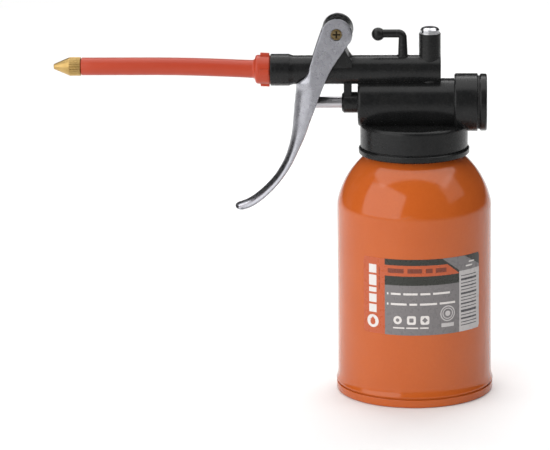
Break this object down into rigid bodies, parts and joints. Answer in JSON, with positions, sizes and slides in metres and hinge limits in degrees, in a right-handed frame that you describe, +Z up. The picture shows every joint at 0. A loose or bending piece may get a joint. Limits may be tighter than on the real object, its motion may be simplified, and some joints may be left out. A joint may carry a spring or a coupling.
{
  "type": "trigger pump oil can",
  "caption": "Round steel oil bottle with a screw-on pump head, curved squeeze trigger, long straight spout with a conical nozzle, and a shut-off lever.",
  "frame": {"origin": "centre of the bottle's base, on the surface the can stands on", "axes": "+Z up along the bottle's axis, the spout points along -X, the trigger's pivot pin lies along Y"},
  "size_m": [0.193, 0.0698, 0.1681],
  "materials": {
    "orange_paint": "glossy baked enamel",
    "label_print": "printed satin film",
    "black_plastic": "moulded, satin",
    "red_plastic": "moulded, semi-gloss",
    "cast_zinc": "die cast and tumbled, bright edges",
    "chromed_steel": "polished",
    "plain_steel": "plated",
    "spring_steel": "drawn wire",
    "brass": "turned",
    "seal_rubber": "moulded",
    "white_nylon": "translucent white"
  },
  "bodies": {
    "bottle": {"bottle_shell": "orange_paint", "bottle_base": "orange_paint", "label": "label_print"},
    "gasket": {"mouth_gasket": "seal_rubber"},
    "head": {"pump_head": "black_plastic", "cylinder_plug": "black_plastic", "plug_seal": "seal_rubber", "rod_seal": "seal_rubber", "return_spring": "spring_steel", "outlet_spring": "spring_steel", "outlet_valve_screw": "chromed_steel", "screw_washer": "plain_steel", "inlet_valve_body": "brass", "suction_tube": "white_nylon", "spout_seal": "seal_rubber"},
    "trigger": {"trigger": "cast_zinc", "pivot_screw": "brass"},
    "plunger": {"plunger_rod": "chromed_steel", "piston": "white_nylon", "piston_cup": "seal_rubber", "piston_washer": "plain_steel", "piston_nut": "plain_steel"},
    "outlet_ball": {"outlet_ball": "chromed_steel"},
    "inlet_ball": {"inlet_ball": "chromed_steel"},
    "shutoff_lever": {"shutoff_lever": "black_plastic"},
    "spout": {"spout": "red_plastic"},
    "nozzle": {"nozzle_tip": "brass"}
  },
  "joints": [
    {"name": "head_rise", "type": "slide", "parent": "bottle", "child": "gasket", "axis": [0, 0, 1], "range_m": [0, 0.00376]},
    {"name": "head_turn", "type": "hinge", "parent": "gasket", "child": "head", "pos_m": [0, 0, 0.119], "axis": [0, 0, 1], "range_deg": [0, 540]},
    {"name": "trigger_squeeze", "type": "hinge", "parent": "head", "child": "trigger", "pos_m": [-0.0335, 0, 0.1612], "axis": [0, -1, 0], "range_deg": [0, 20], "stiffness_Nm_per_rad": 1, "springref_deg": -20.05},
    {"name": "plunger_stroke", "type": "slide", "parent": "head", "child": "plunger", "axis": [1, 0, 0], "range_m": [0, 0.01104], "deforming": ["return_spring"]},
    {"name": "outlet_ball_lift", "type": "slide", "parent": "head", "child": "outlet_ball", "axis": [0, 0, 1], "range_m": [0, 0.001], "stiffness_N_per_m": 60, "springref_m": -0.002, "deforming": ["outlet_spring"]},
    {"name": "inlet_ball_lift", "type": "slide", "parent": "head", "child": "inlet_ball", "axis": [0, 0, 1], "range_m": [0, 0.001]},
    {"name": "shutoff_turn", "type": "hinge", "parent": "head", "child": "shutoff_lever", "pos_m": [-0.0048, 0, 0.1505], "axis": [0, 0, 1], "range_deg": [0, 90]},
    {"name": "spout_turn", "type": "hinge", "parent": "head", "child": "spout", "pos_m": [-0.065, 0, 0.1442], "axis": [1, 0, 0], "continuous": true},
    {"name": "nozzle_turn", "type": "hinge", "parent": "spout", "child": "nozzle", "pos_m": [-0.15, 0, 0.1459], "axis": [1, 0, 0], "continuous": true}
  ],
  "couplings": [
    {"joint": "head_rise", "follows": "head_turn", "m_per_rad": 0.00039789},
    {"joint": "plunger_stroke", "follows": "trigger_squeeze", "m_per_rad": 0.0316}
  ]
}
